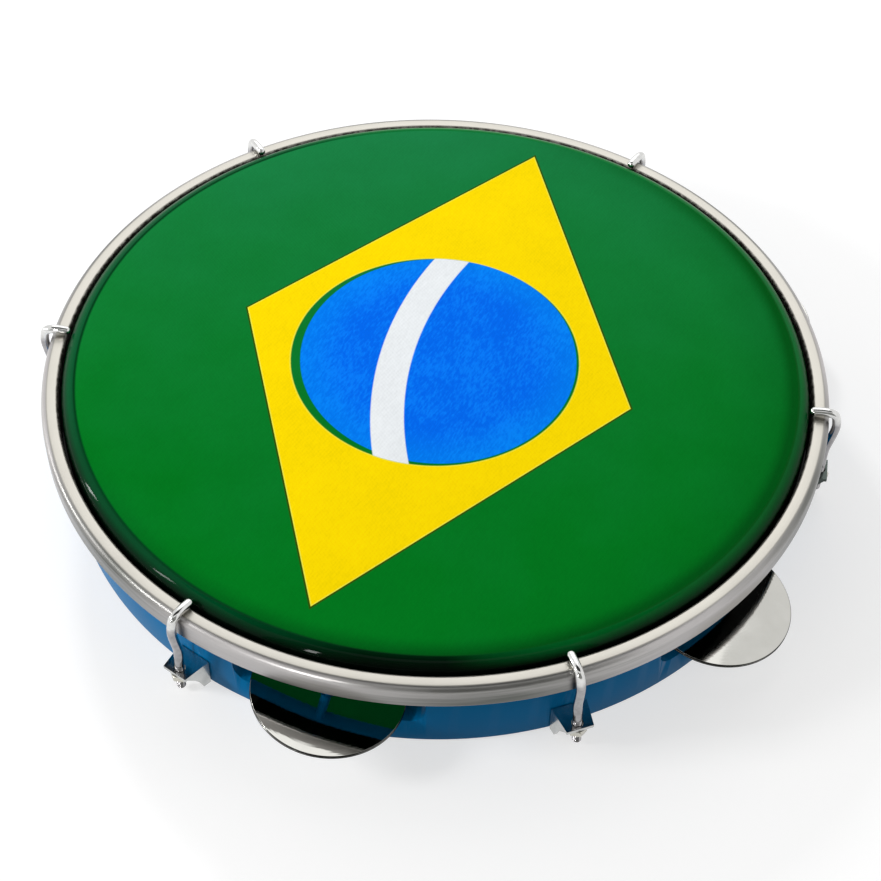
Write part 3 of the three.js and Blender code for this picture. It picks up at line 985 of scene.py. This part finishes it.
def smoothRoute(route, stepsPerSpan):
    # an even Catmull-Rom curve through the route's points
    points = [Vector((r, 0, z)) for r, z in route]
    points = [2 * points[0] - points[1]] + points + [2 * points[-1] - points[-2]]
    curve = []
    for k in range(1, len(points) - 2):
        p0, p1, p2, p3 = points[k - 1 : k + 3]
        for i in range(stepsPerSpan):
            t = i / stepsPerSpan
            bow = (2 * p0 - 5 * p1 + 4 * p2 - p3) * t * t
            curve.append(0.5 * (2 * p1 + (p2 - p0) * t + bow + (3 * p1 - p0 - 3 * p2 + p3) * t * t * t))
    curve.append(points[-2])
    return curve


def ringAround(centre, ahead, radiusFor):
    side = Vector((0, 1, 0))
    up = ahead.cross(side).normalized()
    ring = []
    for i in range(hook["sides"]):
        angle = 2 * math.pi * i / hook["sides"]
        radius = radiusFor(angle)
        ring.append(centre + side * radius * math.cos(angle) + up * radius * math.sin(angle))
    return ring


def makeHookMesh():
    h = hook
    wire, sides = h["wireRadius"], h["sides"]
    curve = smoothRoute(h["route"], h["routeSteps"])
    rings = []
    # domed tip over the hoop
    first = (curve[1] - curve[0]).normalized()
    for k in range(1, h["domeSteps"] + 1):
        tilt = math.pi / 2 * (1 - k / h["domeSteps"])
        radius = max(wire * math.cos(tilt), h["domeTip"])
        rings.append(ringAround(curve[0] - first * wire * math.sin(tilt), first, lambda angle: radius))
    for i, point in enumerate(curve[1:], 1):
        ahead = (curve[min(i + 1, len(curve) - 1)] - curve[i - 1]).normalized()
        rings.append(ringAround(point, ahead, lambda angle: wire))
    # thread: a ridge that climbs one pitch a turn, with a bevelled end
    down = Vector((0, 0, -1))
    pitch, depth, length = h["threadPitch"], h["threadDepth"], h["threadTop"] - h["threadEnd"]
    steps = int(length / pitch * h["stepsPerPitch"])
    for k in range(steps + 1):
        height = h["threadTop"] - length * k / steps
        fade = min(1, (h["threadTop"] - height) / pitch)
        endBevel = max(0, h["endBevel"] - (height - h["threadEnd"]))

        def threadRadius(angle):
            phase = (height / pitch + angle / (2 * math.pi)) % 1
            groove = abs(2 * phase - 1)
            return wire - depth * fade * groove - endBevel

        rings.append(ringAround(Vector((h["shankRadius"], 0, height)), down, threadRadius))
    points = [p for ring in rings for p in ring]
    last = (len(rings) - 1) * sides
    faces = [list(range(sides))]
    for low in range(0, last, sides):
        faces += bandFaces(low, low + sides, sides)
    faces.append([last + i for i in range(sides)])
    return points, faces


def chromedWire():
    # chromed drawn wire: a painted highlight makes its bend bright, and painted shade makes it duller down
    # the shank, which is also specked
    h = hook
    material, tree = newMaterial("chromedWire")
    place = millimetres(tree)
    marks = addNode(tree, "TexNoise", {"Vector": place, "Scale": h["marksPerMm"], "Detail": 4.0})
    height = addNode(tree, "SeparateXYZ", (place,)).outputs[2]
    # painted highlight towards the top bend, over painted shade down the shank
    paintedTopLight = addNode(tree, "Math", (marks, h["marksReach"], height), operation="MULTIPLY_ADD")
    paintedTopLight = addNode(tree, "MapRange", (paintedTopLight, *h["paintedTopSpan"]), interpolation_type="SMOOTHSTEP")
    tip = layColours(tree, h["tipDull"], (marks, h["tipBright"]))
    colour = layColours(tree, h["shankDull"], (marks, h["shankBright"]), (paintedTopLight, tip))
    gloss = addNode(tree, "Math", (marks, h["marksRoughness"], h["roughness"]), operation="MULTIPLY_ADD")
    finishMaterial(tree, {"Base Color": colour, "Metallic": 1.0, "Roughness": gloss})
    return material


def makeHooks():
    points, faces = makeHookMesh()
    material = chromedWire()
    foot = Matrix.Translation((0, 0, hook["leanHeight"]))
    for i, (angle, lean) in enumerate(zip(hookAngles, hook["leans"]), 1):
        # each hook was tightened with its own small lean along the hoop, in the play of its bore
        tilt = foot @ Matrix.Rotation(math.radians(-lean), 4, "X") @ foot.inverted()
        turn = stationTurn(angle) @ tilt
        wire = meshPiece(f"tensionHook{i}", [turn @ p for p in points], faces, hook["sharpAngle"])
        dress(wire, material, f"hook_{i}", f"tension_hook_{i}")


makeHooks()
print("hooks made")


# what holds the hooks: the brackets' finish, the nuts, and the zinc of nuts and rivets
bracket = {
    "edgeSoftness": 0.22,
    "pale": "#D9D9D7",
    "dull": "#AEB0AE",
    "tarnish": "#454C49",
    "darkeningSpan": (112.0, 122.0),
    "ripplePerMm": 0.35,
    "rippleStrength": 0.25,
    "rippleDepth": 0.2,
    "roughness": 0.1,
    "rippleRoughness": 0.2,
}

nut = {
    "acrossFlats": 5.5,
    "low": 6.9,
    "high": 9.3,
    "boreRadius": 1.75,
    "chamfer": 0.45,
    "chamferSteepness": 0.6,
    "sides": 48,
    "sharpAngle": 25,
}

zinc = {
    "pale": "#DAD7CC",
    "dull": "#B9B7AE",
    "crystalsPerMm": 1.6,
    "roughness": 0.2,
    "crystalRoughness": 0.25,
}


def pressedChrome():
    # chromed pressed sheet: bright, and softly rippled by the press
    b = bracket
    material, tree = newMaterial("pressedChromedSteel")
    place = millimetres(tree)
    ripple = addNode(tree, "TexNoise", {"Vector": place, "Scale": b["ripplePerMm"], "Detail": 3.0})
    # darker towards the right, which takes in only the bracket at the right
    rightward = addNode(tree, "SeparateXYZ", (place,)).outputs[0]
    tarnish = addNode(tree, "MapRange", (rightward, *b["darkeningSpan"]))
    colour = layColours(tree, b["dull"], (ripple, b["pale"]), (tarnish, b["tarnish"]))
    gloss = addNode(tree, "Math", (ripple, b["rippleRoughness"], b["roughness"]), operation="MULTIPLY_ADD")
    waves = {"Height": ripple, "Strength": b["rippleStrength"], "Distance": b["rippleDepth"] / 1000}
    bump = addNode(tree, "Bump", waves)
    finishMaterial(tree, {"Base Color": colour, "Metallic": 1.0, "Roughness": gloss, "Normal": bump})
    return material


def zincSteel():
    # zinc-plated steel: pale, slightly warm and satin, with a fine crystalline mottle
    z = zinc
    material, tree = newMaterial("zincPlatedSteel")
    mottle = addNode(tree, "TexVoronoi", {"Vector": millimetres(tree), "Scale": z["crystalsPerMm"]})
    colour = layColours(tree, z["pale"], (mottle, z["dull"]))
    gloss = addNode(tree, "Math", (mottle, z["crystalRoughness"], z["roughness"]), operation="MULTIPLY_ADD")
    finishMaterial(tree, {"Base Color": colour, "Metallic": 1.0, "Roughness": gloss})
    return material


def makeNutMesh():
    # hexagon sides whose corners are turned off at both ends, round the plain bore
    n = nut
    corner = n["acrossFlats"] / 2 / math.cos(math.pi / 6)
    turnedOff, rise, sides = corner - n["chamfer"], n["chamfer"] * n["chamferSteepness"], n["sides"]
    points = []
    for height, limit in (
        (n["low"], turnedOff),
        (n["low"] + rise, corner),
        (n["high"] - rise, corner),
        (n["high"], turnedOff),
    ):
        for i in range(sides):
            angle = 2 * math.pi * i / sides
            toFlat = (angle + math.pi / 6) % (math.pi / 3) - math.pi / 6
            hexagon = corner * math.cos(math.pi / 6) / math.cos(math.pi / 6 - abs(toFlat))
            radius = min(hexagon, limit)
            points.append((radius * math.cos(angle), radius * math.sin(angle), height))
    points += ringPoints(n["boreRadius"], n["high"], sides) + ringPoints(n["boreRadius"], n["low"], sides)
    faces = []
    for low in range(0, len(points), sides):
        faces += bandFaces(low, (low + sides) % len(points), sides)
    return points, faces


def makeBracketsAndNuts():
    chrome, plated = pressedChrome(), zincSteel()
    points, faces = makeNutMesh()
    for i, angle in enumerate(hookAngles, 1):
        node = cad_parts[f"hook_bracket_{i}"]
        node.data.materials.clear()
        node.data.materials.append(chrome)
        softenEdges(node, bracket["edgeSoftness"])
        place = stationTurn(angle) @ Matrix.Translation((hook["shankRadius"], 0, 0))
        piece = meshPiece(f"hookNut{i}", [place @ Vector(p) for p in points], faces, nut["sharpAngle"])
        dress(piece, plated, f"nut_{i}", f"hook_nut_{i}")


def makeRivets():
    r = rivets
    plated = zincSteel()
    head, shank = r["headRadius"], r["shankRadius"]
    headFrom, tail = r["headFrom"], r["tailTo"] - r["tailHeight"]
    profile = [(0, tail), (head - r["tailBevel"][0], tail), (head, tail + r["tailBevel"][1])]
    profile += [(head, r["tailTo"]), (shank, r["tailTo"]), (shank, headFrom), (head, headFrom)]
    for k in range(1, r["domeSteps"]):
        tilt = math.pi / 2 * k / r["domeSteps"]
        profile.append((head * math.cos(tilt), headFrom + r["headHeight"] * math.sin(tilt)))
    profile.append((0, headFrom + r["headHeight"]))
    lay = Matrix.Translation((0, 0, r["height"] / 1000)) @ Matrix.Rotation(math.pi / 2, 4, "Y")
    for i, angle in enumerate(hookAngles, 1):
        piece = turnedPiece(f"bracketRivet{i}", profile, r["steps"])
        piece.data.transform(stationTurn(angle) @ lay)
        dress(piece, plated, "drum", f"bracket_rivet_{i}")


makeBracketsAndNuts()
makeRivets()
print("brackets, nuts and rivets made")


# the loose pairs of discs, each pair at rest in its own lean
jingle = {
    "radius": 23.85,
    "sheet": 0.5,
    "cup": 0.6,
    "cupPower": 3,
    "holeRadius": 3.0,
    "gap": 0.3,
    "edgeRound": 0.2,
    "faceSteps": 12,
    "steps": 160,
    "sharpAngle": 40,
    "leansAlong": [-5.6, -1.9, 3.2, -2.6, 4.1],
    "leansOutward": [3, -6.4, -2, 0.8, -1.5],
    "slidesOutward": [-0.5, -1.2, -0.6, -0.9, -0.3],
    "slotFloor": 10.5,
    "seatGap": 0.3,
    "cadRadius": 24.0,
    "halfWall": 2.85,
    "colour": "#D0CFCA",
    "dullColour": "#BDBCB6",
    "cloudPerMm": 0.12,
    "speckPerMm": 1.1,
    "ringPerMm": 1.6,
    "ringStrength": 0.05,
    "ringDepth": 0.1,
    "roughness": 0.01,
    "cloudRoughness": 0.06,
    "speckRoughness": 0.03,
    "cutEdgeAndShade": "#121211",
    "cutEdgeAndShadeSpan": (-0.24, -0.1),
    "cutEdgeAndShadeRoughness": 0.35,
}


def nickelledDisc():
    # nickel-plated sheet, stamped and tumbled: bright, with faint turned rings and cloudy finger marks
    j = jingle
    material, tree = newMaterial("nickelPlatedSteel")
    place = addNode(tree, "Attribute", attribute_name="discFace").outputs["Vector"]
    cloud = addNode(tree, "TexNoise", {"Vector": place, "Scale": j["cloudPerMm"], "Detail": 5.0})
    speck = addNode(tree, "TexNoise", {"Vector": place, "Scale": j["speckPerMm"], "Detail": 3.0})
    radius = addNode(tree, "VectorMath", (place,), operation="LENGTH")
    ring = addNode(tree, "Math", (radius, j["ringPerMm"]), operation="MULTIPLY")
    ring = addNode(tree, "TexNoise", {"W": ring, "Scale": 1.0, "Detail": 2.0}, noise_dimensions="1D")
    # the sheared rim: dark torn steel, darkened further as painted shade of the gap between the two discs
    cut = addNode(tree, "MapRange", (radius, *(j["radius"] + step for step in j["cutEdgeAndShadeSpan"])))
    colour = layColours(tree, j["dullColour"], (cloud, j["colour"]), (cut, j["cutEdgeAndShade"]))
    gloss = j["roughness"]
    for mark, kind in ((cloud, "cloud"), (speck, "speck"), (cut, "cutEdgeAndShade")):
        gloss = addNode(tree, "Math", (mark, j[kind + "Roughness"], gloss), operation="MULTIPLY_ADD")
    turning = {"Height": ring, "Strength": j["ringStrength"], "Distance": j["ringDepth"] / 1000}
    bump = addNode(tree, "Bump", turning)
    finishMaterial(tree, {"Base Color": colour, "Metallic": 1.0, "Roughness": gloss, "Normal": bump})
    return material


def discProfile(side):
    j = jingle
    soft, steps = j["edgeRound"], j["faceSteps"]
    face = []
    for k in range(steps + 1):
        radius = j["holeRadius"] + (j["radius"] - soft - j["holeRadius"]) * k / steps
        face.append((radius, j["gap"] / 2 + j["cup"] * (1 - (radius / j["radius"]) ** j["cupPower"])))
    back = [(r, h + j["sheet"]) for r, h in reversed(face)]
    rim = [(j["radius"], face[-1][1] + soft), (j["radius"], face[-1][1] + j["sheet"] - soft)]
    profile = face + rim + back
    return profile if side > 0 else [(r, -h) for r, h in reversed(profile)]


def keepFacePlace(disc):
    # the disc's own millimetres, kept for its marks before it is moved into its slot
    layer = disc.data.attributes.new("discFace", "FLOAT_VECTOR", "POINT")
    for vertex in disc.data.vertices:
        layer.data[vertex.index].vector = vertex.co * 1000


def makeJingles():
    j = jingle
    nickel = nickelledDisc()
    for i, angle in enumerate(slots["angles"]):
        along = math.radians(j["leansAlong"][i])
        outward = math.radians(j["leansOutward"][i])
        height = j["slotFloor"] + j["seatGap"] + j["gap"] / 2 + j["sheet"]
        height += j["cadRadius"] * math.sin(abs(along))
        height += (j["halfWall"] + j["seatGap"]) * math.sin(abs(outward))
        place = Vector((pins["circleRadius"] + j["slidesOutward"][i], 0, height)) / 1000
        lean = Matrix.Rotation(along, 4, "X") @ Matrix.Rotation(-outward, 4, "Y")
        for side, word in ((1, "upper"), (-1, "lower")):
            disc = turnedPiece(f"{word}Jingle{i + 1}", discProfile(side), j["steps"], j["sharpAngle"])
            keepFacePlace(disc)
            disc.data.transform(stationTurn(angle) @ Matrix.Translation(place) @ lean)
            dress(disc, nickel, f"{word}_disc_{i + 1}", f"{word}_jingle_{i + 1}")


def drawnSteel():
    # plain drawn steel pin: grey, with lengthwise draw lines
    p = pins
    material, tree = newMaterial("drawnSteel")
    stretched = addNode(tree, "VectorMath", (millimetres(tree), p["linesPerMm"]), operation="MULTIPLY")
    lines = addNode(tree, "TexNoise", {"Vector": stretched, "Scale": 1.0, "Detail": 3.0})
    gloss = addNode(tree, "Math", (lines, p["lineRoughness"], p["roughness"]), operation="MULTIPLY_ADD")
    finishMaterial(tree, {"Base Color": p["colour"], "Metallic": 1.0, "Roughness": gloss})
    return material


def makePins():
    p = pins
    steel = drawnSteel()
    bevel, radius, low, high = p["bevel"], p["radius"], p["low"], p["high"]
    profile = [(0, low), (radius - bevel, low), (radius, low + bevel)]
    profile += [(radius, high - bevel), (radius - bevel, high), (0, high)]
    for i, angle in enumerate(slots["angles"], 1):
        pin = turnedPiece(f"jinglePin{i}", profile, p["steps"])
        pin.data.transform(stationTurn(angle) @ Matrix.Translation((p["circleRadius"] / 1000, 0, 0)))
        dress(pin, steel, "drum", f"jingle_pin_{i}")


makeJingles()
makePins()
print("jingles and pins made")
